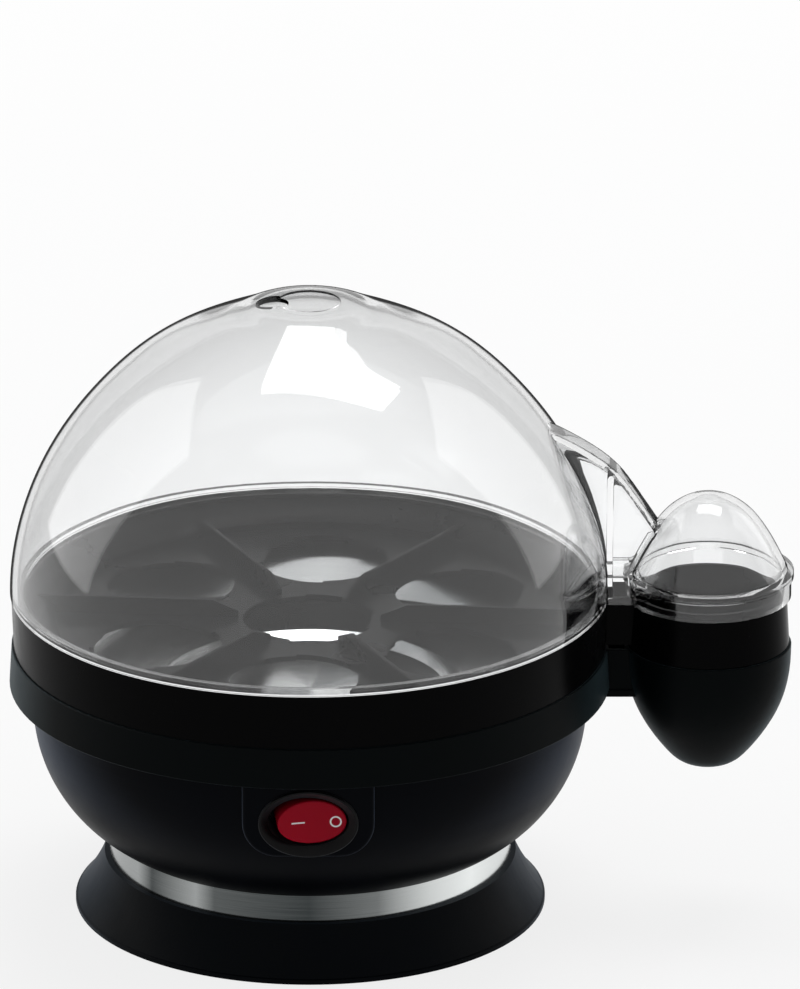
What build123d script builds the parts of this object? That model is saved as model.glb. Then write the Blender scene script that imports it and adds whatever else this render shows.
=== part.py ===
from build123d import *
import os
from math import cos, radians, sin, sqrt

# An electric cooker for seven eggs, with a cup and a small dome at its side for an eighth.
# Millimetres. The origin is on the bowl's axis at the level of the table.
# +Z is up, +X runs to the side cup and -Y to the switch.

os.makedirs("parts", exist_ok=True)

# Heights of the stack, from the table up
skirt_height = 15.0
band_height = 8.3
bowl_height = 43.2
collar_height = 11.7
tray_height = 16.0
dome_height = 87.2

skirt_top = skirt_height
band_top = skirt_top + band_height
bowl_top = band_top + bowl_height
collar_top = bowl_top + collar_height
tray_top = collar_top + tray_height

# Radii about the bowl's axis: the rim's own, and what each of the others differs by
rim_radius = 85.0
collar_flare = 0.7
bowl_inset = 6.0
bowl_bulge = 21.0
band_inset = 0.6
skirt_flare = 9.9
tray_draft = 0.6
lid_overhang = 0.3

collar_foot_radius = rim_radius + collar_flare
bowl_radius = rim_radius - bowl_inset
bowl_foot_radius = bowl_radius - bowl_bulge
band_radius = bowl_foot_radius - band_inset
skirt_radius = band_radius + skirt_flare
tray_foot_radius = rim_radius - tray_draft
lid_radius = rim_radius + lid_overhang

# The side cup, the tray's side ring and the small dome share an axis this far outside the rim
side_reach = 28.5
side_x = rim_radius + side_reach

# Walls and clearances
sheet = 0.8
band_sheet = 0.6
shell_wall = 2.5
skirt_wall = 2.3
tray_wall = 1.6
lid_wall = 2.0
slip = 0.05
gap = 0.3
edge_round = 0.4

# Foot skirt
skirt_lip = 1.2
skirt_lip_step = 0.6
skirt_shoulder = band_radius + 1.5
skirt_waist = band_radius + 4.8
skirt_flange_bore = bowl_foot_radius - 16.0
cover_recess = 3.4
cover_inset = 1.2
cover_thickness = 2.2
boss_radius = 4.0

# Screws, as the radii and lengths of their heads and shanks
screw_radius = 1.45
screw_head_radius = 2.9
screw_head_height = 1.9
screw_bore = screw_radius + slip
screw_circle = bowl_foot_radius - 12.0
cover_screw_circle = bowl_foot_radius - 8.0
screw_angle = 0.0
housing_screw_length = 12.0
cover_screw_length = 7.5
bridge_screw_length = 8.0

# Rubber feet
foot_radius = 6.0
foot_seat_depth = 0.8
foot_circle = bowl_foot_radius - 11.0

# Collar
collar_rim_width = 1.1
collar_groove = 3.2
collar_ledge_width = 8.5
collar_ledge = 2.0
collar_wall = 1.9
collar_hem = 1.5
arm_half_width = 7.0
arm_wall = 1.3
arm_drop = 14.0
arm_floor_drop = 11.5
arm_foot_height = 1.8
arm_foot_width = 0.7
cup_radius = 23.8
cup_depth = 37.0
cup_wall = 2.2
cup_rim_wall = 1.2
cup_ledge_drop = 3.0

# Pan
pan_rim_inset = 3.3
pan_rim_rise = 2.7
pan_hem_lift = 1.4
pan_roll_width = 4.9
pan_slope_width = 14.7
pan_floor_drop = 13.0
pan_well_radius = 43.0
pan_well_floor_radius = 39.0
pan_well_depth = 2.0

# Heater and what holds it
plate_radius = 36.0
plate_thickness = 2.5
element_radius = 29.0
element_tube = 3.2
element_arc = 310.0
element_leg = 10.0
element_bend = 6.0
tab_width = 6.3
tab_thickness = 0.8
tab_length = 8.0
stud_radius = 2.0
nut_radius = 4.0
nut_height = 3.2
bridge_drop = 23.5
bridge_end = 6.0
bridge_width = 12.0
bridge_thickness = 1.5
post_inset = 14.0
clip_drop = 11.0
clip_width = 8.0
clip_thickness = 0.8
clip_length = 28.0
thermostat_x = -13.0
thermostat_radius = 8.0
thermostat_cap = 2.0
fuse_x = 14.0
fuse_radius = 2.2
fuse_length = 11.0

# Switch panel and rocker
panel_half_width = 18.6
panel_proud = 1.0
panel_drop = 22.7
panel_corner = 10.0
switch_drop = 12.3
bezel_long = 14.1
bezel_short = 10.0
bezel_lip = 0.9
bezel_edge = 0.7
bezel_cone_depth = 2.0
barrel_long = 13.1
barrel_short = 9.0
opening_long = 11.4
opening_short = 7.3
barrel_length = 16.0
switch_base_thickness = 3.0
rocker_long = 9.8
rocker_short = 6.4
rocker_depth = 10.0
rocker_proud = 0.4
rocker_dish_radius = 34.0
rocker_dish = 1.2
rocker_tilt = 8.0
pivot_depth = 8.0
pivot_radius = 1.2

# Cord inlet at the back of the skirt
inlet_height = 8.3
inlet_boss_radius = 5.9
inlet_boss_inset = 1.3
inlet_boss_length = 11.0
bush_radius = 4.3
bush_flange_radius = 5.4
bush_lip_radius = 4.65
bush_flange = 1.5
bush_bore = 3.2
block_length = 26.0
block_width = 12.0
block_height = 9.0

# Egg tray
tray_rim_width = 1.2
tray_lip_width = 2.0
tray_lip_drop = 3.2
tray_slope_width = 6.8
tray_slope_drop = 4.2
tray_step_width = 12.4
tray_step_drop = 7.3
tray_floor_drop = 9.0
tray_floor = 1.5
egg_count = 6
egg_hole_radius = 19.05
egg_hole_edge = 5.55
egg_tab_radius = 17.7
egg_tab_angle = 38.0
egg_tab_turn = 83.0
rib_turn = -4.5
centre_hole_turn = 34.5
rib_thickness = 1.5
rib_drop = 4.0
rib_inset = 5.0
rib_crest_start = 27.9
rib_toe_radius = 20.4
rib_toe_height = 1.8
ring_bore = 19.2
ring_lip_radius = 20.4
ring_ledge_drop = 1.9
ring_ledge_radius = 22.4
ring_foot_radius = 23.2
ring_skirt_wall = 1.3
tray_arm_lift = 1.5
tray_arm_floor_drop = 12.0
arm_blend = 8.0

# Lid
lid_rim_flange = 3.8
lid_rim_thickness = 1.8
lid_lip_gap = 0.4
lid_lip_drop = 1.5
lid_side_drop = 1.6
dome_order = 1.85
dome_power = 0.525
small_dome_radius = 22.5
small_dome_height = 28.6
small_dome_order = 2.43
small_dome_power = 1.04
small_wall = 1.8
small_band_radius = 23.6
small_band_height = 3.6
small_ridge_radius = 24.3
small_ridge_height = 6.5
small_bore = 21.2
fin_half_width = 6.4
fin_wall = 1.8
fin_root_inset = 27.3
fin_root_rise = 54.5
fin_toe_rise = 13.0
fin_length = 46.0
fin_round = 2.8
flange_half_width = 9.0
flange_wall = 1.5
flange_top = 6.6
partition_inset = 0.9
partition_wall = 1.8
vent_x = -10.3
vent_radius = 4.6
dimple_radius = 9.0
dimple_depth = 0.6

# What follows from the sizes above
collar_ledge_bore = rim_radius - collar_ledge_width
pan_rim_radius = rim_radius - pan_rim_inset
pan_floor_radius = pan_rim_radius - pan_slope_width
post_circle = bowl_foot_radius - post_inset
bridge_height = bowl_top - bridge_drop
bridge_length = 2 * (post_circle + bridge_end)
panel_front = bowl_radius + panel_proud
panel_foot = bowl_top - panel_drop
switch_height = bowl_top - switch_drop
inlet_boss_front = skirt_radius - inlet_boss_inset
inlet_boss_back = inlet_boss_front - inlet_boss_length
tray_lip_radius = rim_radius - tray_lip_width
tray_slope_radius = rim_radius - tray_slope_width
tray_step_radius = rim_radius - tray_step_width
egg_circle = tray_step_radius - egg_hole_edge - egg_hole_radius
rib_reach = rim_radius - rib_inset
rib_crest_length = rib_reach - rib_crest_start
lid_lip_radius = tray_lip_radius - lid_lip_gap
fin_root_x = lid_radius - fin_root_inset
partition_x = lid_radius - partition_inset


def polar(radius, angle):
    """The point at this radius and angle about the bowl's axis."""
    return (radius * cos(radians(angle)), radius * sin(radians(angle)))


# Bowl housing: a moulded bowl on a short neck, with the flat panel for the switch
bowl_arc_rise = bowl_height - 6.5
bowl_arc = (bowl_bulge**2 + bowl_arc_rise**2) / (2 * bowl_bulge)
bowl_arc_top = band_top + bowl_arc_rise
bowl_arc_centre = bowl_radius - bowl_arc
ledge_bottom = collar_top - collar_groove - collar_ledge
neck_radius = band_radius - band_sheet - slip
floor_top = skirt_top + shell_wall
inner_arc = bowl_arc - shell_wall
inner_foot = bowl_arc_centre + sqrt(inner_arc**2 - bowl_arc_rise**2)


def bowl_arc_point(radius, height):
    """The point on the arc of this radius about the bowl's arc centre, at this height."""
    drop = bowl_arc_top - height
    return (bowl_arc_centre + sqrt(radius**2 - drop**2), height)


with BuildPart() as bowl_housing:
    with BuildSketch(Plane.XZ):
        with BuildLine():
            Polyline((0, skirt_top), (neck_radius, skirt_top), (neck_radius, band_top), (bowl_foot_radius, band_top))
            ThreePointArc(
                (bowl_foot_radius, band_top),
                bowl_arc_point(bowl_arc, band_top + bowl_arc_rise * 0.5),
                (bowl_radius, bowl_arc_top),
            )
            Polyline((bowl_radius, bowl_arc_top), (bowl_radius, ledge_bottom), (0, ledge_bottom), (0, skirt_top))
        make_face()
    revolve(axis=Axis.Z)
    with BuildSketch(Plane.XZ.offset(panel_front)):
        with Locations((0, (panel_foot + bowl_top) / 2)):
            Rectangle(2 * panel_half_width, bowl_top - panel_foot)
        fillet(
            [v for v in vertices(Select.ALL) if abs(v.Y - panel_foot) < 0.1], radius=panel_corner
        )
    extrude(amount=-panel_front / 3)
    panel_face = faces().filter_by(Axis.Y).sort_by(Axis.Y)[0]
    fillet(
        [e for e in panel_face.edges() if e.center().Z < bowl_top - 0.1], radius=1.2
    )
    with BuildSketch(Plane.XZ):
        with BuildLine():
            Polyline((0, floor_top), (inner_foot, floor_top), (inner_foot, band_top))
            ThreePointArc(
                (inner_foot, band_top),
                bowl_arc_point(inner_arc, band_top + bowl_arc_rise * 0.5),
                (bowl_radius - shell_wall, bowl_arc_top),
            )
            Polyline(
                (bowl_radius - shell_wall, bowl_arc_top),
                (bowl_radius - shell_wall, ledge_bottom),
                (0, ledge_bottom),
                (0, floor_top),
            )
        make_face()
    revolve(axis=Axis.Z, mode=Mode.SUBTRACT)
    with BuildSketch(Plane.XZ.offset(panel_front + 1)):
        with Locations((0, switch_height)):
            Ellipse(barrel_long + slip * 2, barrel_short + slip * 2)
    extrude(amount=-20, mode=Mode.SUBTRACT)
    # posts for the bridge over the floor, and bosses for the screws from below
    with BuildSketch(Plane.XY.offset(skirt_top + 1)):
        with Locations((0, post_circle), (0, -post_circle)):
            Circle(boss_radius + 0.5)
    extrude(amount=bridge_height - skirt_top - 1)
    with BuildSketch(Plane.XY.offset(skirt_top + 1)):
        with PolarLocations(screw_circle, 3, screw_angle):
            Circle(boss_radius)
    extrude(amount=housing_screw_length)
    with BuildSketch(Plane.XY.offset(skirt_top)):
        with PolarLocations(screw_circle, 3, screw_angle):
            Circle(screw_bore)
        with Locations((0, 30)):
            Circle(6.5)
    extrude(amount=housing_screw_length, mode=Mode.SUBTRACT)
    with BuildSketch(Plane.XY.offset(bridge_height)):
        with Locations((0, post_circle), (0, -post_circle)):
            Circle(screw_bore)
    extrude(amount=-bridge_screw_length - 1, mode=Mode.SUBTRACT)
bowl_housing.part.label = "bowl_housing"
export_step(bowl_housing.part, "parts/bowl_housing.step")

# Brushed steel band round the bowl's neck
with BuildPart() as trim_band:
    with BuildSketch(Plane.XY.offset(skirt_top)):
        Circle(band_radius)
        Circle(band_radius - band_sheet, mode=Mode.SUBTRACT)
    extrude(amount=band_height)
trim_band.part.label = "trim_band"
export_step(trim_band.part, "parts/trim_band.step")

# Foot skirt: a flared shell under the neck, open below, with a boss for the cord's bush
skirt_inner = skirt_radius - skirt_wall - 0.2
skirt_flange = 2.0
with BuildPart() as foot_skirt:
    with BuildSketch(Plane.XZ):
        with BuildLine():
            Polyline((0, 0), (skirt_radius, 0), (skirt_radius, skirt_lip), (skirt_radius - skirt_lip_step, skirt_lip + 0.3))
            ThreePointArc(
                (skirt_radius - skirt_lip_step, skirt_lip + 0.3),
                (skirt_waist, skirt_top * 0.53),
                (skirt_shoulder, skirt_top),
            )
            Polyline((skirt_shoulder, skirt_top), (0, skirt_top), (0, 0))
        make_face()
        fillet([v for v in vertices() if v.X > skirt_radius - 0.1 and v.Y > 0.1], radius=edge_round)
    revolve(axis=Axis.Z)
    with Locations(Plane.XZ.offset(-inlet_boss_front)):
        with Locations((0, inlet_height)):
            Cylinder(inlet_boss_radius, inlet_boss_front - inlet_boss_back, align=(Align.CENTER, Align.CENTER, Align.MIN))
    with BuildSketch(Plane.XZ):
        with BuildLine():
            Polyline((0, 0), (skirt_inner, 0), (skirt_inner, cover_recess), (skirt_radius - skirt_wall * 1.9, cover_recess))
            ThreePointArc(
                (skirt_radius - skirt_wall * 1.9, cover_recess),
                (skirt_waist - skirt_wall * 1.15, skirt_top * 0.53),
                (skirt_shoulder - skirt_wall, skirt_top - skirt_flange),
            )
            Polyline((skirt_shoulder - skirt_wall, skirt_top - skirt_flange), (0, skirt_top - skirt_flange), (0, 0))
        make_face()
    revolve(axis=Axis.Z, mode=Mode.SUBTRACT)
    with Locations(Plane.XZ.offset(-inlet_boss_front)):
        with Locations((0, inlet_height)):
            Cylinder(inlet_boss_radius, inlet_boss_front - inlet_boss_back, align=(Align.CENTER, Align.CENTER, Align.MIN))
    with BuildSketch(Plane.XZ.offset(-inlet_boss_front)):
        with Locations((0, inlet_height)):
            Circle(bush_radius + slip)
    extrude(amount=inlet_boss_front - inlet_boss_back, mode=Mode.SUBTRACT)
    with BuildSketch(Plane.XY):
        Circle(skirt_inner)
    extrude(amount=cover_recess, mode=Mode.SUBTRACT)
    with BuildSketch(Plane.XY.offset(skirt_top)):
        Circle(skirt_flange_bore)
    extrude(amount=-skirt_flange, mode=Mode.SUBTRACT)
    with BuildSketch(Plane.XY.offset(cover_recess)):
        with PolarLocations(cover_screw_circle, 3, screw_angle + 60):
            Circle(boss_radius)
    extrude(amount=skirt_top - skirt_flange - cover_recess)
    with BuildSketch(Plane.XY.offset(cover_recess)):
        with PolarLocations(cover_screw_circle, 3, screw_angle + 60):
            Circle(screw_bore)
    extrude(amount=cover_screw_length, mode=Mode.SUBTRACT)
    with BuildSketch(Plane.XY.offset(skirt_top)):
        with PolarLocations(screw_circle, 3, screw_angle):
            Circle(screw_bore)
    extrude(amount=-skirt_flange, mode=Mode.SUBTRACT)
foot_skirt.part.label = "foot_skirt"
export_step(foot_skirt.part, "parts/foot_skirt.step")

# Screws that join the skirt to the bowl, with their heads under the skirt's flange
with BuildPart() as housing_screws:
    with PolarLocations(screw_circle, 3, screw_angle):
        with Locations((0, 0, skirt_top - skirt_flange)):
            Cylinder(screw_head_radius, screw_head_height, align=(Align.CENTER, Align.CENTER, Align.MAX))
            Cylinder(screw_radius, housing_screw_length, align=(Align.CENTER, Align.CENTER, Align.MIN))
housing_screws.part.label = "housing_screws"
export_step(housing_screws.part, "parts/housing_screws.step")

# Bottom cover in the skirt's recess, with seats for the feet and slots for air
cover_bottom = cover_recess - cover_thickness
with BuildPart() as bottom_cover:
    with BuildSketch(Plane.XY.offset(cover_bottom)):
        Circle(skirt_inner - gap)
        with PolarLocations(cover_screw_circle, 3, screw_angle + 60):
            Circle(screw_bore, mode=Mode.SUBTRACT)
        with PolarLocations(22, 8):
            SlotOverall(14, 3, mode=Mode.SUBTRACT)
    extrude(amount=cover_thickness)
    with BuildSketch(Plane.XY.offset(cover_bottom)):
        with PolarLocations(foot_circle, 4, 45):
            Circle(foot_radius + slip)
    extrude(amount=foot_seat_depth, mode=Mode.SUBTRACT)
    with BuildSketch(Plane.XY.offset(cover_bottom)):
        with PolarLocations(cover_screw_circle, 3, screw_angle + 60):
            Circle(screw_head_radius + gap)
    extrude(amount=foot_seat_depth, mode=Mode.SUBTRACT)
bottom_cover.part.label = "bottom_cover"
export_step(bottom_cover.part, "parts/bottom_cover.step")

# Screws of the bottom cover
with BuildPart() as cover_screws:
    with PolarLocations(cover_screw_circle, 3, screw_angle + 60):
        with Locations((0, 0, cover_bottom + foot_seat_depth)):
            Cylinder(screw_head_radius, screw_head_height, align=(Align.CENTER, Align.CENTER, Align.MAX))
            Cylinder(screw_radius, cover_screw_length, align=(Align.CENTER, Align.CENTER, Align.MIN))
cover_screws.part.label = "cover_screws"
export_step(cover_screws.part, "parts/cover_screws.step")

# Four rubber feet, level with the skirt's lower edge
with BuildPart() as rubber_feet:
    with BuildSketch(Plane.XY):
        with PolarLocations(foot_circle, 4, 45):
            Circle(foot_radius)
    extrude(amount=cover_bottom + foot_seat_depth)
    chamfer(edges().group_by(Axis.Z)[0], length=0.6)
rubber_feet.part.label = "rubber_feet"
export_step(rubber_feet.part, "parts/rubber_feet.step")

# Rubber bush that lines the cord's hole
with BuildPart() as cord_bush:
    with Locations(Plane.XZ.offset(-inlet_boss_front)):
        with Locations((0, inlet_height)):
            Cylinder(bush_radius, inlet_boss_front - inlet_boss_back, align=(Align.CENTER, Align.CENTER, Align.MIN))
    with Locations(Plane.XZ.offset(-inlet_boss_front)):
        with Locations((0, inlet_height)):
            Cylinder(bush_flange_radius, bush_flange, align=(Align.CENTER, Align.CENTER, Align.MAX))
    with Locations(Plane.XZ.offset(-inlet_boss_back)):
        with Locations((0, inlet_height)):
            Cylinder(bush_lip_radius, bush_flange, align=(Align.CENTER, Align.CENTER, Align.MIN))
            Hole(bush_bore)
    fillet(faces().sort_by(Axis.Y)[-1].edges(), radius=0.5)
cord_bush.part.label = "cord_bush"
export_step(cord_bush.part, "parts/cord_bush.step")

# Top collar: one moulding with the ring round the pan, the arm and the side cup
collar_bottom = collar_top - collar_height
ledge_top = collar_top - collar_groove
hem_bore = bowl_radius + gap


def revolved_about(x):
    """The vertical axis through this X."""
    return Axis((x, 0, 0), (0, 0, 1))


def cup_curve(radius, depth):
    """Points down a quarter of an ellipse below the cup's rim."""
    return [
        (side_x + radius * cos(radians(angle)), collar_top - depth * sin(radians(angle)))
        for angle in (0, 30, 60, 90)
    ]


with BuildPart() as top_collar:
    with BuildSketch(Plane.XY.offset(collar_top - arm_drop)):
        with Locations(((rim_radius - 0.6 + side_x) / 2, 0)):
            Rectangle(side_x - rim_radius + 0.6, 2 * (arm_half_width + 0.3))
    extrude(amount=arm_drop)
    fillet(edges().filter_by(Axis.X).group_by(Axis.Z)[-1], radius=edge_round)
    with BuildSketch(Plane.XY.offset(collar_top - arm_drop)):
        with Locations(((rim_radius - 0.6 + side_x) / 2, 0)):
            Rectangle(side_x - rim_radius + 0.6, 2 * (arm_half_width + 0.3 + arm_foot_width))
    extrude(amount=arm_foot_height)
    with BuildSketch(Plane.XY.offset(collar_top)):
        with Locations(((rim_radius + side_x) / 2, 0)):
            Rectangle(side_x - rim_radius, 2 * (arm_half_width + 0.3 - arm_wall))
            Rectangle(side_x - rim_radius, arm_wall, mode=Mode.SUBTRACT)
    extrude(amount=-arm_floor_drop, mode=Mode.SUBTRACT)
    with BuildSketch(Plane.XY.offset(collar_top)):
        with Locations(((rim_radius + side_x) / 2, 0)):
            Rectangle(side_x - rim_radius, 2 * arm_wall)
    extrude(amount=-arm_floor_drop * 0.6, mode=Mode.SUBTRACT)
    with BuildSketch(Plane.XZ):
        with BuildLine():
            Polyline(
                (collar_foot_radius, collar_bottom),
                (rim_radius, collar_top),
                (rim_radius - collar_rim_width, collar_top),
                (rim_radius - collar_rim_width, ledge_top),
                (collar_ledge_bore, ledge_top),
                (collar_ledge_bore, ledge_bottom),
                (rim_radius - collar_rim_width - 0.6, ledge_bottom),
                (collar_foot_radius - collar_wall, collar_bottom + collar_hem),
                (hem_bore, collar_bottom + collar_hem),
                (hem_bore, collar_bottom),
                close=True,
            )
        make_face()
        fillet([v for v in vertices() if v.Y > collar_top - gap or v.Y < collar_bottom + gap], radius=edge_round)
    revolve(axis=Axis.Z)
    with BuildSketch(Plane.XZ):
        with BuildLine():
            Spline(*cup_curve(cup_radius, cup_depth), tangents=[(0, -1), (-1, 0)])
            Polyline((side_x, collar_top - cup_depth), (side_x, collar_top), (side_x + cup_radius, collar_top))
        make_face()
        fillet([v for v in vertices() if v.X > side_x + cup_radius - gap], radius=edge_round)
    revolve(axis=revolved_about(side_x))
    with BuildSketch(Plane.XZ):
        with BuildLine():
            Spline(*cup_curve(cup_radius - cup_wall, cup_depth - cup_wall), tangents=[(0, -1), (-1, 0)])
            Polyline(
                (side_x, collar_top - cup_depth + cup_wall),
                (side_x, collar_top),
                (side_x + cup_radius - cup_wall, collar_top),
            )
        make_face()
    revolve(axis=revolved_about(side_x), mode=Mode.SUBTRACT)
    with BuildSketch(Plane.XY.offset(collar_top)):
        with Locations((side_x, 0)):
            Circle(cup_radius - cup_rim_wall)
    extrude(amount=-cup_ledge_drop, mode=Mode.SUBTRACT)
top_collar.part.label = "top_collar"
export_step(top_collar.part, "parts/top_collar.step")

# Heating pan: one sheet, from the hem of its rolled rim in to the well at its centre
pan_rim_top = collar_top + pan_rim_rise
pan_floor_top = collar_top - pan_floor_drop
pan_hem = ledge_top + pan_hem_lift
well_underside = pan_floor_top - sheet - pan_well_depth
with BuildPart() as heating_pan:
    with BuildSketch(Plane.XZ):
        with BuildLine():
            FilletPolyline(
                (pan_rim_radius - sheet, pan_hem),
                (pan_rim_radius - sheet, pan_rim_top - sheet),
                (pan_rim_radius - pan_roll_width + sheet, pan_rim_top - sheet),
                (pan_floor_radius, pan_floor_top - sheet),
                (pan_well_radius, pan_floor_top - sheet),
                (pan_well_floor_radius, well_underside),
                (0, well_underside),
                radius=[1.2, 1.2, 7.0, 0.6, 1.2],
            )
            offset(amount=sheet, side=Side.RIGHT)
        make_face()
    revolve(axis=Axis.Z)
heating_pan.part.label = "heating_pan"
export_step(heating_pan.part, "parts/heating_pan.step")

# Seal between the pan's rolled rim and the collar's ledge
with BuildPart() as pan_seal:
    with BuildSketch(Plane.XY.offset(ledge_top)):
        Circle(pan_rim_radius + 0.9)
        Circle(pan_rim_radius - pan_roll_width + sheet, mode=Mode.SUBTRACT)
    extrude(amount=pan_hem_lift)
pan_seal.part.label = "pan_seal"
export_step(pan_seal.part, "parts/pan_seal.step")

# Aluminium plate under the pan, the ring of the heater under it and its two blades
plate_bottom = well_underside - plate_thickness
with BuildPart() as heater_plate:
    with BuildSketch(Plane.XY.offset(plate_bottom)):
        Circle(plate_radius)
    extrude(amount=plate_thickness)
    chamfer(edges().group_by(Axis.Z)[-1], length=0.6)
heater_plate.part.label = "heater_plate"
export_step(heater_plate.part, "parts/heater_plate.step")

element_height = plate_bottom - element_tube + 0.3
element_gap = (360.0 - element_arc) / 2
leg_bottom = element_height - element_bend - element_leg


def leg_point(side):
    """The middle of one leg, from above: side is 1 or -1."""
    end = polar(element_radius, side * element_gap)
    return (
        end[0] + element_bend * sin(radians(element_gap)),
        end[1] - side * element_bend * cos(radians(element_gap)),
    )


with BuildPart() as heater_element:
    with BuildSketch(Plane.XZ.rotated((0, 0, element_gap))):
        with Locations((element_radius, element_height)):
            Circle(element_tube)
    revolve(axis=Axis.Z, revolution_arc=element_arc)
    for side in (1, -1):
        end = polar(element_radius, side * element_gap)
        out = (sin(radians(element_gap)), -side * cos(radians(element_gap)), 0)
        hinge = (-out[1], out[0], 0)
        with BuildSketch(Plane(origin=(end[0], end[1], element_height), x_dir=hinge, z_dir=out)):
            Circle(element_tube)
        revolve(axis=Axis((end[0], end[1], element_height - element_bend), hinge), revolution_arc=90)
        with BuildSketch(Plane.XY.offset(leg_bottom)):
            with Locations(leg_point(side)):
                Circle(element_tube)
        extrude(amount=element_leg)
    with BuildSketch(Plane.XY.offset(plate_bottom)):
        Circle(plate_radius)
    extrude(amount=element_tube, mode=Mode.SUBTRACT)
heater_element.part.label = "heater_element"
export_step(heater_element.part, "parts/heater_element.step")

with BuildPart() as heater_blades:
    for side in (1, -1):
        with Locations((*leg_point(side), leg_bottom)):
            Cylinder(element_tube - 0.8, 1.5, align=(Align.CENTER, Align.CENTER, Align.MAX))
            Box(tab_thickness, tab_width, tab_length, align=(Align.CENTER, Align.CENTER, Align.MAX))
heater_blades.part.label = "heater_blades"
export_step(heater_blades.part, "parts/heater_blades.step")

# Bridge across the bowl's posts, which pulls the pan down by its central stud
bridge_top = bridge_height + bridge_thickness
with BuildPart() as pan_bridge:
    with BuildSketch(Plane.XY.offset(bridge_height)):
        SlotOverall(bridge_length, bridge_width, rotation=90)
        with Locations((0, post_circle), (0, -post_circle)):
            Circle(screw_bore, mode=Mode.SUBTRACT)
        Circle(stud_radius + slip, mode=Mode.SUBTRACT)
    extrude(amount=bridge_thickness)
pan_bridge.part.label = "pan_bridge"
export_step(pan_bridge.part, "parts/pan_bridge.step")

with BuildPart() as bridge_screws:
    with Locations((0, post_circle, bridge_top), (0, -post_circle, bridge_top)):
        Cylinder(screw_head_radius, screw_head_height, align=(Align.CENTER, Align.CENTER, Align.MIN))
        Cylinder(screw_radius, bridge_screw_length + bridge_thickness, align=(Align.CENTER, Align.CENTER, Align.MAX))
bridge_screws.part.label = "bridge_screws"
export_step(bridge_screws.part, "parts/bridge_screws.step")

stud_bottom = bridge_height - nut_height - 2.0
with BuildPart() as centre_stud:
    with BuildSketch(Plane.XY.offset(stud_bottom)):
        Circle(stud_radius)
    extrude(amount=plate_bottom - stud_bottom)
    chamfer(edges().group_by(Axis.Z)[0], length=0.4)
centre_stud.part.label = "centre_stud"
export_step(centre_stud.part, "parts/centre_stud.step")

# Spring clip on the stud, under the thermostat at one end and the thermal fuse at the other
clip_top = plate_bottom - clip_drop + 1.0
fuse_bottom = plate_bottom - 2 * fuse_radius
with BuildPart() as sensor_clip:
    with BuildSketch(Plane.XZ):
        with BuildLine():
            Polyline(
                (thermostat_x - thermostat_radius, clip_top),
                (fuse_x - 9.0, clip_top),
                (fuse_x - 4.0, fuse_bottom),
                (fuse_x + 4.0, fuse_bottom),
            )
            offset(amount=clip_thickness, side=Side.RIGHT)
        make_face()
    extrude(amount=clip_width / 2, both=True)
    with BuildSketch(Plane.XY.offset(clip_top)):
        Circle(stud_radius + slip)
    extrude(amount=-clip_thickness, mode=Mode.SUBTRACT)
sensor_clip.part.label = "sensor_clip"
export_step(sensor_clip.part, "parts/sensor_clip.step")

with BuildPart() as stud_nuts:
    with BuildSketch(Plane.XY.offset(bridge_height)):
        RegularPolygon(nut_radius, 6)
        Circle(stud_radius, mode=Mode.SUBTRACT)
    extrude(amount=-nut_height)
    with BuildSketch(Plane.XY.offset(clip_top - clip_thickness)):
        RegularPolygon(nut_radius, 6)
        Circle(stud_radius, mode=Mode.SUBTRACT)
    extrude(amount=-nut_height)
stud_nuts.part.label = "stud_nuts"
export_step(stud_nuts.part, "parts/stud_nuts.step")

with BuildPart() as thermostat:
    with BuildSketch(Plane.XY.offset(clip_top)):
        with Locations((thermostat_x, 0)):
            Circle(thermostat_radius)
    extrude(amount=plate_bottom - clip_top - thermostat_cap)
    with BuildSketch(Plane.XY.offset(plate_bottom)):
        with Locations((thermostat_x, 0)):
            Circle(thermostat_radius - 1.2)
    extrude(amount=-thermostat_cap)
    for side in (1, -1):
        with Locations((thermostat_x, side * (thermostat_radius + 2.0), clip_top + 2.0)):
            Box(4.8, 9.0, 0.8)
thermostat.part.label = "thermostat"
export_step(thermostat.part, "parts/thermostat.step")

with BuildPart() as thermal_fuse:
    with Locations((fuse_x, 0, plate_bottom - fuse_radius)):
        Cylinder(fuse_radius, fuse_length, rotation=(90, 0, 0))
        Cylinder(0.6, fuse_length + 12.0, rotation=(90, 0, 0))
thermal_fuse.part.label = "thermal_fuse"
export_step(thermal_fuse.part, "parts/thermal_fuse.step")

with BuildPart() as terminal_block:
    with Locations((-24, 0, floor_top)):
        Box(block_width, block_length, block_height, align=(Align.CENTER, Align.CENTER, Align.MIN))
    with GridLocations(1, 8.5, 1, 3):
        with Locations((-24, 0, floor_top + block_height)):
            Hole(1.8, depth=4.0)
terminal_block.part.label = "terminal_block"
export_step(terminal_block.part, "parts/terminal_block.step")

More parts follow.
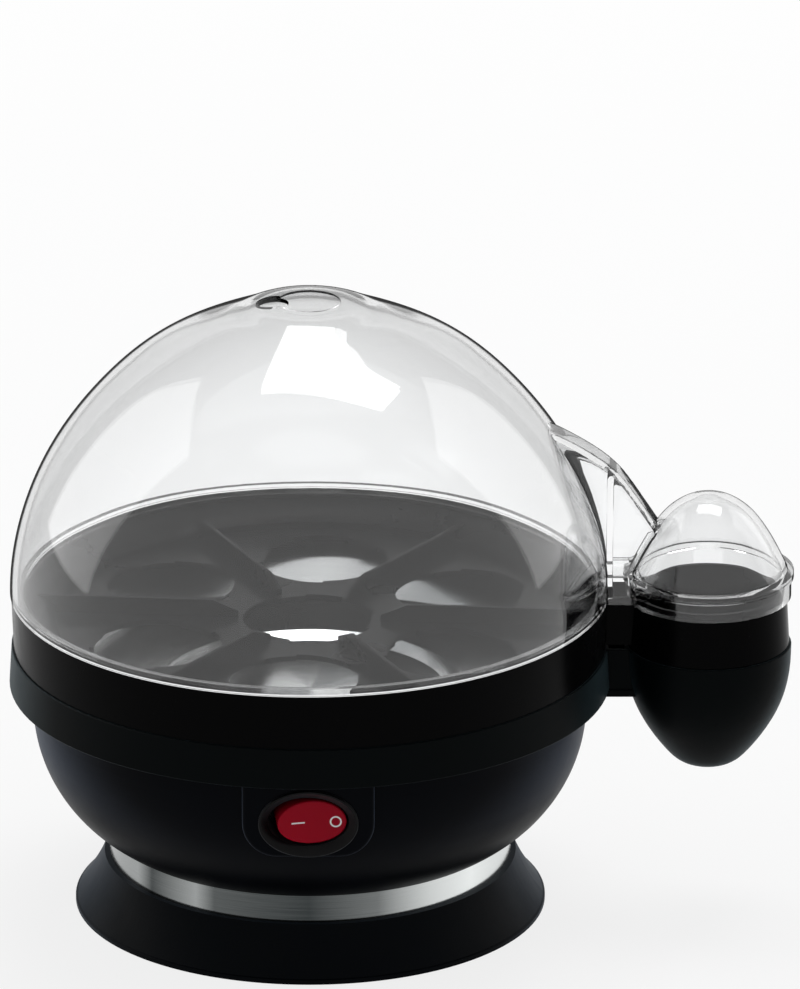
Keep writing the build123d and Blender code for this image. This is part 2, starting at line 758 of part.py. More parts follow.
# Switch: an oval body in the panel, its rear plate, its blades and the rocker
with BuildPart() as switch_body:
    with BuildSketch(Plane.XZ.offset(panel_front + bezel_lip)):
        with Locations((0, switch_height)):
            Ellipse(bezel_long, bezel_short)
    extrude(amount=-bezel_lip)
    chamfer(edges().group_by(Axis.Y)[0], length=0.3)
    with BuildSketch(Plane.XZ.offset(panel_front)):
        with Locations((0, switch_height)):
            Ellipse(barrel_long, barrel_short)
    extrude(amount=-barrel_length)
    with BuildSketch(Plane.XZ.offset(panel_front + bezel_lip)):
        with Locations((0, switch_height)):
            Ellipse(bezel_long - bezel_edge, bezel_short - bezel_edge)
    with BuildSketch(Plane.XZ.offset(panel_front + bezel_lip - bezel_cone_depth)):
        with Locations((0, switch_height)):
            Ellipse(opening_long, opening_short)
    loft(mode=Mode.SUBTRACT)
    with BuildSketch(Plane.XZ.offset(panel_front)):
        with Locations((0, switch_height)):
            Ellipse(opening_long, opening_short)
    extrude(amount=-barrel_length, mode=Mode.SUBTRACT)
    with Locations((0, -panel_front + pivot_depth, switch_height)):
        Cylinder(pivot_radius + slip, 3 * barrel_short, mode=Mode.SUBTRACT)
switch_body.part.label = "switch_body"
export_step(switch_body.part, "parts/switch_body.step")

switch_back = panel_front - barrel_length
with BuildPart() as switch_base:
    with BuildSketch(Plane.XZ.offset(switch_back)):
        with Locations((0, switch_height)):
            Ellipse(barrel_long, barrel_short)
    extrude(amount=-switch_base_thickness + 1)
    with BuildSketch(Plane.XZ.offset(switch_back)):
        with Locations((0, switch_height)):
            Ellipse(opening_long - slip, opening_short - slip)
    extrude(amount=switch_base_thickness)
switch_base.part.label = "switch_base"
export_step(switch_base.part, "parts/switch_base.step")

with BuildPart() as switch_blades:
    for place in (-7.0, 0.0, 7.0):
        with Locations((place, -switch_back + switch_base_thickness - 1, switch_height)):
            Box(tab_thickness, tab_length, tab_width, align=(Align.CENTER, Align.MIN, Align.CENTER))
switch_blades.part.label = "switch_blades"
export_step(switch_blades.part, "parts/switch_blades.step")

# Rocker, modelled with its right side pressed
tilt_cos = cos(radians(rocker_tilt))
tilt_sin = sin(radians(rocker_tilt))
pivot = (0, -panel_front + pivot_depth, switch_height)
rocker_plan = Plane(origin=pivot, x_dir=(tilt_cos, tilt_sin, 0), z_dir=(0, 0, 1))
rocker_face = Plane(origin=pivot, x_dir=(tilt_cos, tilt_sin, 0), z_dir=(tilt_sin, -tilt_cos, 0))
rocker_front = pivot_depth + rocker_proud
with BuildPart() as rocker:
    with BuildSketch(rocker_face.offset(rocker_front)):
        Ellipse(rocker_long, rocker_short)
    extrude(amount=-rocker_depth)
    with BuildSketch(rocker_plan):
        with BuildLine():
            ThreePointArc(
                (-rocker_long - 1, -rocker_front),
                (0, -rocker_front + rocker_dish),
                (rocker_long + 1, -rocker_front),
            )
            Polyline(
                (rocker_long + 1, -rocker_front),
                (rocker_long + 1, -rocker_front - 3),
                (-rocker_long - 1, -rocker_front - 3),
                (-rocker_long - 1, -rocker_front),
            )
        make_face()
    extrude(amount=rocker_short + 1, both=True, mode=Mode.SUBTRACT)
    fillet(edges().sort_by(Axis.Y)[0], radius=0.5)
    with Locations(pivot):
        Cylinder(pivot_radius, 2 * (barrel_short - 0.4))
rocker.part.label = "rocker"
export_step(rocker.part, "parts/rocker.step")

# Egg tray: a dish with seven notched holes, six ribs, the arm and the side ring
tray_bottom = tray_top - tray_height
tray_floor_top = tray_top - tray_floor_drop
arm_bottom = collar_top + tray_arm_lift
arm_inner_half = arm_half_width - tray_rim_width
ring_wall_depth = tray_floor_drop


def keyhole(grow):
    """Draw the opening of the side ring with the arm's channel, larger all round by grow."""
    with Locations((side_x, 0)):
        Circle(ring_bore)
    with Locations((rim_radius + 1.4, 0)):
        Rectangle(side_x - rim_radius - 2, 2 * arm_inner_half, align=(Align.MIN, Align.CENTER))
    corners = [v for v in vertices(Select.ALL) if rim_radius + 2 < v.X < side_x]
    fillet(corners, radius=arm_blend)
    if grow:
        offset(amount=grow, kind=Kind.INTERSECTION)


with BuildPart() as egg_tray:
    with BuildSketch(Plane.XY.offset(tray_top)):
        with Locations((rim_radius - 0.6, 0)):
            Rectangle(side_x - ring_bore - rim_radius + 1, 2 * arm_half_width, align=(Align.MIN, Align.CENTER))
    extrude(amount=-(tray_top - arm_bottom))
    with BuildSketch(Plane.XY.offset(tray_top)):
        keyhole(tray_rim_width)
    extrude(amount=-ring_wall_depth)
    with BuildSketch(Plane.XZ):
        with BuildLine():
            Polyline(
                (side_x + ring_lip_radius - 0.4, tray_top - ring_ledge_drop),
                (side_x + ring_ledge_radius, tray_top - ring_ledge_drop),
                (side_x + ring_foot_radius, tray_bottom),
                (side_x + ring_foot_radius - ring_skirt_wall, tray_bottom),
                (side_x + ring_ledge_radius - ring_skirt_wall, tray_top - ring_ledge_drop - tray_floor),
                (side_x + ring_lip_radius - 0.4, tray_top - ring_ledge_drop - tray_floor),
                close=True,
            )
        make_face()
        fillet([v for v in vertices() if v.X > side_x + ring_ledge_radius - gap], radius=edge_round)
    revolve(axis=revolved_about(side_x))
    with BuildSketch(Plane.XY.offset(tray_top)):
        keyhole(0)
    extrude(amount=-tray_arm_floor_drop, mode=Mode.SUBTRACT)
    with BuildSketch(Plane.XY.offset(tray_top)):
        with Locations((side_x, 0)):
            Circle(ring_bore)
    extrude(amount=-tray_height, mode=Mode.SUBTRACT)
    with BuildSketch(Plane.XZ):
        with BuildLine():
            Polyline(
                (tray_step_radius, tray_top - tray_step_drop),
                (tray_step_radius, tray_floor_top),
                (0, tray_floor_top),
                (0, tray_floor_top - tray_floor),
                (tray_step_radius + 0.6, tray_floor_top - tray_floor),
                (tray_step_radius + tray_wall, tray_floor_top - 0.4),
                (tray_step_radius + tray_wall, tray_top - tray_step_drop - 1.0),
            )
            ThreePointArc(
                (tray_step_radius + tray_wall, tray_top - tray_step_drop - 1.0),
                (tray_slope_radius + 0.4, tray_top - tray_slope_drop - tray_wall - 0.1),
                (tray_foot_radius - tray_wall + 0.1, tray_top - tray_lip_drop - tray_wall - 0.2),
            )
            Polyline(
                (tray_foot_radius - tray_wall + 0.1, tray_top - tray_lip_drop - tray_wall - 0.2),
                (tray_foot_radius - tray_wall, tray_bottom),
                (tray_foot_radius, tray_bottom),
                (rim_radius, tray_top),
                (rim_radius - tray_rim_width, tray_top),
                (tray_lip_radius, tray_top - tray_lip_drop),
            )
            ThreePointArc(
                (tray_lip_radius, tray_top - tray_lip_drop),
                (tray_slope_radius, tray_top - tray_slope_drop),
                (tray_step_radius, tray_top - tray_step_drop),
            )
        make_face()
        fillet([v for v in vertices() if v.Y > tray_top - gap], radius=edge_round)
    revolve(axis=Axis.Z)
    for number in range(egg_count):
        turn = rib_turn + number * 360 / egg_count
        along = (cos(radians(turn)), sin(radians(turn)), 0)
        with BuildSketch(Plane(origin=(0, 0, 0), x_dir=along, z_dir=(along[1], -along[0], 0))):
            Polygon(
                (rib_toe_radius, tray_floor_top - 0.5),
                (rib_toe_radius, tray_floor_top + rib_toe_height),
                (rib_crest_start, tray_top - rib_drop),
                (rib_reach, tray_top - rib_drop),
                (rib_reach, tray_top - rib_drop - 0.8),
                (tray_step_radius + 2.4, tray_floor_top + 2.0),
                (tray_step_radius + 0.6, tray_floor_top - 0.5),
                align=None,
            )
        extrude(amount=rib_thickness / 2, both=True)
    crests = [
        e
        for e in edges().filter_by(GeomType.LINE)
        if abs(e.center().Z - tray_top + rib_drop) < 0.01 and e.length > rib_crest_length * 0.8
    ]
    fillet(crests, radius=edge_round)
    places = [(0, 0, rib_turn + centre_hole_turn)]
    for number in range(egg_count):
        turn = rib_turn + (number + 0.5) * 360 / egg_count
        places.append((*polar(egg_circle, turn), turn))
    for x, y, turn in places:
        with BuildSketch(Plane.XY.offset(tray_floor_top)):
            with Locations((x, y)):
                Circle(egg_hole_radius)
                with PolarLocations(0, 3, turn + egg_tab_turn):
                    Polygon(
                        (0, 0),
                        polar(egg_hole_radius + 5, egg_tab_angle / 2),
                        polar(egg_hole_radius + 5, -egg_tab_angle / 2),
                        align=None,
                        mode=Mode.SUBTRACT,
                    )
                Circle(egg_tab_radius)
        extrude(amount=-tray_floor, mode=Mode.SUBTRACT)
egg_tray.part.label = "egg_tray"
export_step(egg_tray.part, "parts/egg_tray.step")

# Lid: one clear moulding with the main dome, the fin and the small dome over the side ring
flange_start = lid_radius - 0.8


def dome_outline(x, foot, radius, rise, order, power):
    """Points up the outline of a dome, from its foot to its top."""
    points = []
    for angle in range(90, -1, -15):
        reach = sin(radians(angle))
        points.append((x + radius * reach, foot + rise * (1 - reach**order) ** power))
    return points


dome_round = dome_outline(0, tray_top, lid_radius, dome_height, dome_order, dome_power)
dome_ends = [(0, 1), (-1, 0)]
small_round = dome_outline(
    side_x,
    tray_top + small_ridge_height,
    small_dome_radius,
    small_dome_height - small_ridge_height,
    small_dome_order,
    small_dome_power,
)
small_ends = [(-0.38, 0.92), (-1, 0)]
fin_fall = fin_root_rise - fin_toe_rise
fin_crest = [
    (fin_root_x, tray_top + fin_root_rise),
    (fin_root_x + fin_length * 0.511, tray_top + fin_toe_rise + fin_fall * 0.687),
    (fin_root_x + fin_length * 0.652, tray_top + fin_toe_rise + fin_fall * 0.554),
    (fin_root_x + fin_length * 0.757, tray_top + fin_toe_rise + fin_fall * 0.398),
    (fin_root_x + fin_length * 0.826, tray_top + fin_toe_rise + fin_fall * 0.282),
    (fin_root_x + fin_length, tray_top + fin_toe_rise),
]


def fin_outline():
    """Draw the fin from its side: its crest, with square corners inside the two domes."""
    Spline(*fin_crest)
    Polyline(
        fin_crest[-1],
        (fin_crest[-1][0], tray_top),
        (fin_root_x, tray_top),
        fin_crest[0],
    )


def beside(curve, distance):
    """Points at this distance to the left of a curve, from its start to its end."""
    return [
        curve @ (step / 8) + distance * Vector(-(curve % (step / 8)).Y, (curve % (step / 8)).X)
        for step in range(9)
    ]


with BuildPart() as lid:
    with BuildSketch(Plane.XZ):
        with BuildLine():
            fin_outline()
        make_face()
    extrude(amount=fin_half_width, both=True)
    fillet([e for e in edges().filter_by(GeomType.BSPLINE) if abs(e.center().Y) > 1], radius=fin_round)
    with BuildSketch(Plane.XY.offset(tray_top - lid_side_drop)):
        keyhole(flange_half_width - arm_inner_half)
    extrude(amount=lid_side_drop + flange_top)
    with BuildSketch(Plane.XZ):
        with BuildLine():
            Spline(*dome_round, tangents=dome_ends)
            Polyline(dome_round[-1], (0, tray_top), dome_round[0])
        make_face()
    revolve(axis=Axis.Z)
    # the hollow of the main dome
    with BuildSketch(Plane.XZ):
        with BuildLine():
            dome_outside = Spline(*dome_round, tangents=dome_ends, mode=Mode.PRIVATE)
            Spline(*beside(dome_outside, lid_wall), tangents=dome_ends)
            Polyline(
                (0, tray_top + dome_height - lid_wall),
                (0, tray_top - lid_side_drop),
                (lid_radius - lid_wall, tray_top - lid_side_drop),
                (lid_radius - lid_wall, tray_top),
            )
        make_face()
    revolve(axis=Axis.Z, mode=Mode.SUBTRACT)
    # the fin's two pockets, either side of the partition, and the hollow of the flange
    with BuildSketch(Plane.XZ):
        with BuildLine():
            crest = Spline(*fin_crest, mode=Mode.PRIVATE)
            hollow = Spline(*beside(crest, -fin_wall))
            Polyline(
                hollow @ 1,
                ((hollow @ 1).X, tray_top + lid_rim_thickness),
                ((hollow @ 0).X, tray_top + lid_rim_thickness),
                hollow @ 0,
            )
        make_face()
        with Locations((partition_x, tray_top)):
            Rectangle(partition_wall, 2 * dome_height, align=(Align.MIN, Align.CENTER), mode=Mode.SUBTRACT)
    extrude(amount=fin_half_width - fin_wall, both=True, mode=Mode.SUBTRACT)
    with BuildSketch(Plane.XY.offset(tray_top - lid_side_drop)):
        keyhole(flange_half_width - arm_inner_half - flange_wall)
        with Locations((partition_x + partition_wall, 0)):
            Rectangle(dome_height, dome_height, align=(Align.MIN, Align.CENTER), mode=Mode.INTERSECT)
    extrude(amount=lid_side_drop + flange_top - flange_wall, mode=Mode.SUBTRACT)
    # the small dome and its hollow
    with BuildSketch(Plane.XZ):
        with BuildLine():
            Polyline(
                (side_x, tray_top - lid_side_drop),
                (side_x + small_band_radius, tray_top - lid_side_drop),
                (side_x + small_band_radius, tray_top + small_band_height),
                (side_x + small_ridge_radius, tray_top + small_band_height + 0.5),
                (side_x + small_ridge_radius, tray_top + small_ridge_height - 0.5),
                small_round[0],
            )
            Spline(*small_round, tangents=small_ends)
            Line(small_round[-1], (side_x, tray_top - lid_side_drop))
        make_face()
    revolve(axis=revolved_about(side_x))
    with BuildSketch(Plane.XZ):
        with BuildLine():
            small_outside = Spline(*small_round, tangents=small_ends, mode=Mode.PRIVATE)
            inside = Spline(*beside(small_outside, small_wall), tangents=small_ends)
            Polyline(
                (side_x, tray_top + small_dome_height - small_wall),
                (side_x, tray_top - lid_side_drop),
                (side_x + small_bore, tray_top - lid_side_drop),
                (side_x + small_bore, tray_top + small_band_height),
                inside @ 0,
            )
        make_face()
    revolve(axis=revolved_about(side_x), mode=Mode.SUBTRACT)
    # clearance below the rim's plane for the tray's arm and rim
    with BuildSketch(Plane.XY.offset(tray_top)):
        keyhole(flange_half_width - arm_inner_half - flange_wall)
        Circle(lid_radius + slip)
    extrude(amount=-lid_side_drop, mode=Mode.SUBTRACT)
    # the rim's bead and the lip inside the tray's rim
    with BuildSketch(Plane.XZ):
        with BuildLine():
            Polyline(
                (lid_radius, tray_top),
                (lid_lip_radius, tray_top),
                (lid_lip_radius, tray_top - lid_lip_drop),
                (lid_radius - lid_rim_flange, tray_top - lid_lip_drop),
                (lid_radius - lid_rim_flange, tray_top + lid_rim_thickness),
                (lid_radius - 1, tray_top + lid_rim_thickness),
                close=True,
            )
        make_face()
    revolve(axis=Axis.Z)
    with BuildSketch(Plane.XY.offset(tray_top + dome_height)):
        Circle(dimple_radius)
    extrude(amount=-dimple_depth - 0.3, mode=Mode.SUBTRACT)
    with BuildSketch(Plane.XY.offset(tray_top + dome_height)):
        with Locations((vent_x, 0)):
            Circle(vent_radius)
    extrude(amount=-dome_height / 8, mode=Mode.SUBTRACT)
lid.part.label = "lid"
export_step(lid.part, "parts/lid.step")
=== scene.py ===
"""The looks of the electric egg cooker: its plastics, its metals, its clear lid and the switch's signs.

The studio's lamps, floor and room, and the photograph's camera, are set up here too.
"""

from math import atan2, cos, hypot, pi, radians, sin

import bmesh
import bpy
from mathutils import Matrix, Vector


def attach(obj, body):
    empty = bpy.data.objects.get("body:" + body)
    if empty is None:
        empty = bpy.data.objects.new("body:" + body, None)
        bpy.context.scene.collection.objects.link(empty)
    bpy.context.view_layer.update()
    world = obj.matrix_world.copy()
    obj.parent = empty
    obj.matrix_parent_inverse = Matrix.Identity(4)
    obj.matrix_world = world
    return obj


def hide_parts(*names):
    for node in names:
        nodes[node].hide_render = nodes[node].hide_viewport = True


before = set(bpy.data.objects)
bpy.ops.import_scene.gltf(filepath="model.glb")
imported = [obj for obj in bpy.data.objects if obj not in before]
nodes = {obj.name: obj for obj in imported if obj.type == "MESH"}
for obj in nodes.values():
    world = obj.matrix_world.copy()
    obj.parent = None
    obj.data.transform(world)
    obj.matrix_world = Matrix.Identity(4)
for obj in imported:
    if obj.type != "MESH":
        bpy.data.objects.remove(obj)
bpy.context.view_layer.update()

# Sizes of the object, in metres, as the CAD has them
COLLAR_TOP = 0.0782
TRAY_TOP = 0.0942
SMALL_DOME_FOOT = TRAY_TOP + 0.0065
SIDE_X = 0.1135

# The lid's two domes: the middle's x, the foot's height, radius, rise, order, power and wall, and the
# outline's slopes at its foot and at its top
MAIN_DOME = (0.0, TRAY_TOP, 0.0853, 0.0872, 1.85, 0.525, 0.002, (0, 1), (-2.1, 0))
SMALL_DOME = (SIDE_X, SMALL_DOME_FOOT, 0.0225, 0.0221, 2.43, 1.04, 0.0018, (-0.41, 0.99), (-1.4, 0))

# A dome's outline: the degrees between its points, the points of its inner side, the rounds that settle
# its slopes, the steps of its table, and how close to its axis a point lies on it
SPLINE_DEGREES = 15
INSET_POINTS = 9
SLOPE_ROUNDS = 60
OUTLINE_STEPS = 4000
ON_AXIS = 1e-7

# The lid's finer mesh: its longest edge, how often edges are halved at most, how far from a dome the
# CAD's corners may lie, and how nearly a face has to look the dome's way
LONGEST_EDGE = 0.0024
SPLIT_ROUNDS = 4
CAD_LEEWAY = 0.00015
SAME_WAY = 0.85

# Copies of CAD meshes: corners this close are one, edges from this angle on are sharp, corners of a
# turned copy share a ring when they agree to this length, and a radius counts as at least the last
MERGE_REACH = 2e-6
SHARP_ANGLE = radians(32)
RING_STEP = 0.00001
SMALLEST_RING = 1e-9

# The rocker's pivot, how far it is tilted at rest, and its printed signs
ROCKER_PIVOT = (0, -0.072, 0.0542)
ROCKER_TILT = radians(8)
BAR_X = -0.0039
BAR_HALF_LENGTH = 0.0019
RING_X = 0.0067
RING_RADIUS = 0.00145
PRINT_HALF_WIDTH = 0.00022
PRINT_SOFTNESS = 0.00006
PRINT_WHITE = 0.85

# The clear plastic's tint from face on (0) to edge on (1), greyer towards edge on as a painted shade, and where
# its painted dark outline, a painted dark reflection, starts: first on its walls, then on the narrow faces past
# the main dome. Those lie beyond the next x, and their normals are less upright and less sideways than the last
# number
CLEAR_PAINTED_SHADES = [(0.0, 0.99), (0.2, 0.968), (0.4, 0.87), (0.6, 0.765), (0.8, 0.64), (0.92, 0.3), (1.0, 0.05)]
CLEAR_PAINTED_OUTLINE = 0.85
EDGE_PAINTED_SHADES = [(0.0, 0.9), (0.3, 0.78), (0.6, 0.5), (0.8, 0.2), (1.0, 0.03)]
EDGE_PAINTED_OUTLINE = 0.78
FIN_START_X = 0.07
BROAD_SIDE = 0.98

# The clear plastic's cast, its gloss, how far the painted dark outline takes to come in, how much of the painted
# outline is black there and at its edge, that black, and how much light the plastic lets into its shadow
CLEAR_CAST = (1.0, 1.004, 1.006)
CLEAR_IOR = 1.49
CLEAR_ROUGHNESS = 0.015
PAINTED_OUTLINE_BLUR = 0.035
PAINTED_OUTLINE_SHARES = (0.93, 0.98)
PAINTED_OUTLINE_BLACK = 0.004
SHADOW_TINT = 0.93

# A plastic's painted sheen, a lighter tone painted into its colour where it is seen at a low angle, is full
# from this low an angle on (1 is edge on), and the bowl's painted sheen comes in over this height above its
# underside (m)
PAINTED_SHEEN_END = 0.95
PAINTED_SHEEN_FADE = 0.022

# Most of a noise lies between the first two. A moulding's handling marks darken and lighten it to the
# next two, and its skin and the lines of brushing stand this high at full depth (m)
NOISE_LOW = 0.3
NOISE_HIGH = 0.7
MARKS_DARK = 0.9
MARKS_LIGHT = 1.1
SKIN_HEIGHT = 0.00005
LINE_HEIGHT = 0.00003

# The band's painted reflections: how bright its colour is painted from its left end (0) to its right end (1)
BAND_PAINTED_REFLECTIONS = [
    (0.0, 0.30),
    (0.075, 0.34),
    (0.11, 0.03),
    (0.22, 0.36),
    (0.265, 0.08),
    (0.5, 0.015),
    (0.67, 0.16),
    (0.80, 0.70),
    (0.90, 1.0),
    (1.0, 0.68),
]

# Brushed metal's painted reflections: how much soft lobes and blotches add to its two painted reflection fans,
# and which sums are dull and bright
LOBE_WEIGHT = 1.7
BLOTCH_WEIGHT = 1.5
DULL_SUM = 1.45
BRIGHT_SUM = 2.6

# Brushing: how much height counts beside reach where its lines are laid, and how quickly they change
# round the axis
CLIMB = 0.73
ROUND_SCALE = 2.5

# The floor: its size and colour, how white it is near the object, how far its shade reaches, and from
# where it is as white as the room (m)
FLOOR_HALF_SIZE = 3.0
FLOOR_GREY = 0.92
FLOOR_NEAR_WHITE = 0.8
FLOOR_SHADE_REACH = 0.2
FLOOR_WHITE_REACH = 1.1

# The light that the room casts. What is seen of the room, in mirrors and through the lid too, is white
ROOM_COLOR = (0.97, 0.985, 1.0, 1)
ROOM_STRENGTH = 0.42

# The lamps: place, aim, width and height in metres, power in watts and turn round their own axis
LAMPS = {
    "left_box": ((-1.3, 0.5, 0.75), (0, 0, 0.08), 1.1, 1.5, 6, 0.0),
    "right_box": ((1.35, 0.6, 0.75), (0, 0, 0.08), 1.1, 1.5, 5.6, 0.0),
    "top_box": ((0.14, 0.38, 1.25), (0.14, 0.379, 0), 0.80, 0.40, 5.4, radians(-12)),
}

# The photograph's camera: how many pixels a millimetre takes, and where the collar's centre lies
PHOTO_SIZE = (800, 989)
PIXELS_PER_MM = 3.508
COLLAR_PIXEL = (309.8, 640.9)
CAMERA_ELEVATION = radians(20.49)
CAMERA_DISTANCE = 4.0
CAMERA_REACH = 20
SENSOR = 36.0
MM_PER_METRE = 1000


def show(thing):
    """Put an object in the scene and give it back."""
    bpy.context.scene.collection.objects.link(thing)
    return thing


# Shapes


def spline_through(points, start, end):
    """A smooth curve through flat points, as a function of 0 to 1 to a place and a direction."""
    knots = [0.0]
    for a, b in zip(points, points[1:]):
        knots.append(knots[-1] + (b - a).length)
    slopes = [Vector(start)] + [Vector((0, 0)) for _ in points[2:]] + [Vector(end)]
    for _ in range(SLOPE_ROUNDS):
        for i in range(1, len(points) - 1):
            before, after = knots[i] - knots[i - 1], knots[i + 1] - knots[i]
            pull = 3 * ((points[i] - points[i - 1]) * after / before + (points[i + 1] - points[i]) * before / after)
            slopes[i] = (pull - slopes[i - 1] * after - slopes[i + 1] * before) / (2 * (before + after))

    def at(share):
        value = share * knots[-1]
        i = max(k for k in range(len(points) - 1) if knots[k] <= value)
        span = knots[i + 1] - knots[i]
        t = (value - knots[i]) / span
        place = (
            points[i] * (2 * t**3 - 3 * t**2 + 1)
            + slopes[i] * span * (t**3 - 2 * t**2 + t)
            + points[i + 1] * (3 * t**2 - 2 * t**3)
            + slopes[i + 1] * span * (t**3 - t**2)
        )
        way = (
            (points[i + 1] - points[i]) * 6 * (t - t**2) / span
            + slopes[i] * (3 * t**2 - 4 * t + 1)
            + slopes[i + 1] * (3 * t**2 - 2 * t)
        )
        return place, way.normalized()

    return at


def outline_table(curve, side):
    """The curve's place and outward normal at even angles about its foot's middle."""
    samples = []
    for step in range(OUTLINE_STEPS + 1):
        place, way = curve(step / OUTLINE_STEPS)
        samples.append((atan2(place.y, place.x), place, Vector((way.y, -way.x)) * side))
    table = []
    index = 0
    for step in range(OUTLINE_STEPS + 1):
        angle = step / OUTLINE_STEPS * pi / 2
        while index < OUTLINE_STEPS - 1 and samples[index + 1][0] < angle:
            index += 1
        table.append(samples[index][1:])
    return table


def dome_sides(dome):
    """The outer and the inner side of a dome, each as its middle, its foot and its outline."""
    x, foot, radius, rise, order, power, wall, start, end = dome
    points = []
    for angle in range(90, -1, -SPLINE_DEGREES):
        reach = sin(radians(angle))
        points.append(Vector((radius * reach, rise * (1 - reach**order) ** power)))
    outer = spline_through(points, start, end)
    inset = []
    for step in range(INSET_POINTS):
        place, way = outer(step / (INSET_POINTS - 1))
        inset.append(place + wall * Vector((-way.y, way.x)))
    inner = spline_through(inset, start, end)
    return [(x, foot, outline_table(outer, 1)), (x, foot, outline_table(inner, -1))]


def stand_off(point, side):
    """How far a point lies outside this side of a dome, and the side's normal there."""
    x, foot, table = side
    out = hypot(point.x - x, point.y)
    angle = atan2(point.z - foot, out)
    if not 0 <= angle <= pi / 2:
        return 1.0, Vector((0, 0, 1))
    place, normal = table[round(angle / (pi / 2) * OUTLINE_STEPS)]
    off = (Vector((out, point.z - foot)) - place).dot(normal)
    across = Vector(((point.x - x) / out, point.y / out)) if out > ON_AXIS else Vector((0, 0))
    return off, Vector((across.x * normal.x, across.y * normal.x, normal.y))


def side_of(face, sides):
    """Which side of which dome a face lies on, or None."""
    for index, side in enumerate(sides):
        if all(abs(stand_off(corner.co, side)[0]) < CAD_LEEWAY for corner in face.verts):
            if face.normal.dot(stand_off(face.calc_center_median(), side)[1]) > SAME_WAY:
                return index
    return None


def merged_copy(node):
    """A CAD node's mesh with its doubled corners merged, open for changes."""
    build = bmesh.new()
    build.from_mesh(nodes[node].data)
    bmesh.ops.remove_doubles(build, verts=build.verts, dist=MERGE_REACH)
    return build


def smooth_mesh(build, name):
    """Turn a changed mesh into mesh data that is smooth but for its sharp edges."""
    for face in build.faces:
        face.smooth = True
    for edge in build.edges:
        edge.smooth = edge.calc_face_angle(0) < SHARP_ANGLE
    mesh = bpy.data.meshes.new(name)
    build.to_mesh(mesh)
    build.free()
    if "custom_normal" in mesh.attributes:
        mesh.attributes.remove(mesh.attributes["custom_normal"])
    return mesh


def settle_on_domes(build, sides):
    """Move the corners of the domes' faces exactly onto the domes."""
    settled = {}
    for face in build.faces:
        index = side_of(face, sides)
        if index is not None:
            settled.update({corner: index for corner in face.verts})
    for corner, index in settled.items():
        off, normal = stand_off(corner.co, sides[index])
        corner.co -= normal * off
    build.normal_update()


def split_domes(build, sides):
    """Halve the domes' long edges, each new corner on the side that it is nearest to."""
    for _ in range(SPLIT_ROUNDS):
        long = set()
        for face in build.faces:
            if max(edge.calc_length() for edge in face.edges) > LONGEST_EDGE and side_of(face, sides) is not None:
                long.update(edge for edge in face.edges if edge.calc_length() > LONGEST_EDGE)
        if not long:
            break
        made = bmesh.ops.subdivide_edges(build, edges=[edge for edge in build.edges if edge in long], cuts=1)
        for item in made["geom_inner"]:
            if isinstance(item, bmesh.types.BMVert):
                off, normal = min((stand_off(item.co, side) for side in sides), key=lambda pair: abs(pair[0]))
                item.co -= normal * off
        bmesh.ops.triangulate(build, faces=[face for face in build.faces if len(face.verts) > 3])
        build.normal_update()
    build.faces.index_update()


def round_normals(mesh, carried, sides):
    """Give the faces that lie on a dome's side that side's own normals."""
    normals = [Vector(corner.vector) for corner in mesh.corner_normals]
    for polygon in mesh.polygons:
        index = carried[polygon.index]
        if index is not None:
            for loop in polygon.loop_indices:
                corner = mesh.vertices[mesh.loops[loop].vertex_index].co
                normals[loop] = stand_off(corner, sides[index])[1]
    mesh.normals_split_custom_set(normals)


def finer_lid():
    """A finer copy of the lid with truly round domes, so that light bends evenly through it."""
    build = merged_copy("lid")
    build.normal_update()
    sides = dome_sides(MAIN_DOME) + dome_sides(SMALL_DOME)
    settle_on_domes(build, sides)
    split_domes(build, sides)
    carried = [side_of(face, sides) for face in build.faces]
    mesh = smooth_mesh(build, "clear_lid")
    round_normals(mesh, carried, sides)
    mesh.materials.clear()
    mesh.materials.append(FINISHES["lid"])
    mesh.materials.append(clear_plastic("clear_plastic_edge", EDGE_PAINTED_SHADES, EDGE_PAINTED_OUTLINE))
    for polygon in mesh.polygons:
        past_dome = carried[polygon.index] is None and polygon.center.x > FIN_START_X
        if past_dome and max(abs(polygon.normal.y), abs(polygon.normal.z)) < BROAD_SIDE:
            polygon.material_index = 1
    lid = show(bpy.data.objects.new("clear_lid", mesh))
    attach(lid, "lid_body")
    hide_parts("lid")


def even_normals(mesh):
    """Give a turned mesh the same normals all the way round: each ring's mean."""
    rings = {}
    places = []
    for loop, corner in zip(mesh.loops, mesh.corner_normals):
        x, y, z = mesh.vertices[loop.vertex_index].co
        out = max(hypot(x, y), SMALLEST_RING)
        normal = Vector(corner.vector)
        lean = atan2(normal.z, (normal.x * x + normal.y * y) / out)
        group = rings.setdefault((round(out / RING_STEP), round(z / RING_STEP)), [])
        for ring in group:
            if abs(ring[0] / ring[1] - lean) < SHARP_ANGLE / 2:
                ring[0] += lean
                ring[1] += 1
                break
        else:
            ring = [lean, 1]
            group.append(ring)
        places.append((x / out, y / out, ring))
    normals = []
    for across_x, across_y, (total, count) in places:
        lean = total / count
        normals.append((across_x * cos(lean), across_y * cos(lean), sin(lean)))
    mesh.normals_split_custom_set(normals)


def even_copy(node, name, body):
    """A copy of a turned CAD node, whose normals are the same all the way round."""
    mesh = smooth_mesh(merged_copy(node), name)
    even_normals(mesh)
    mesh.materials.clear()
    mesh.materials.append(FINISHES[node])
    copy = show(bpy.data.objects.new(name, mesh))
    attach(copy, body)
    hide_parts(node)


# Nodes


def new_material(name):
    """A material with one Principled BSDF: the material, its node tree and that shader."""
    material = bpy.data.materials.new(name)
    material.use_nodes = True
    tree = material.node_tree
    tree.nodes.clear()
    output = tree.nodes.new("ShaderNodeOutputMaterial")
    shader = tree.nodes.new("ShaderNodeBsdfPrincipled")
    tree.links.new(shader.outputs["BSDF"], output.inputs["Surface"])
    return material, tree, shader


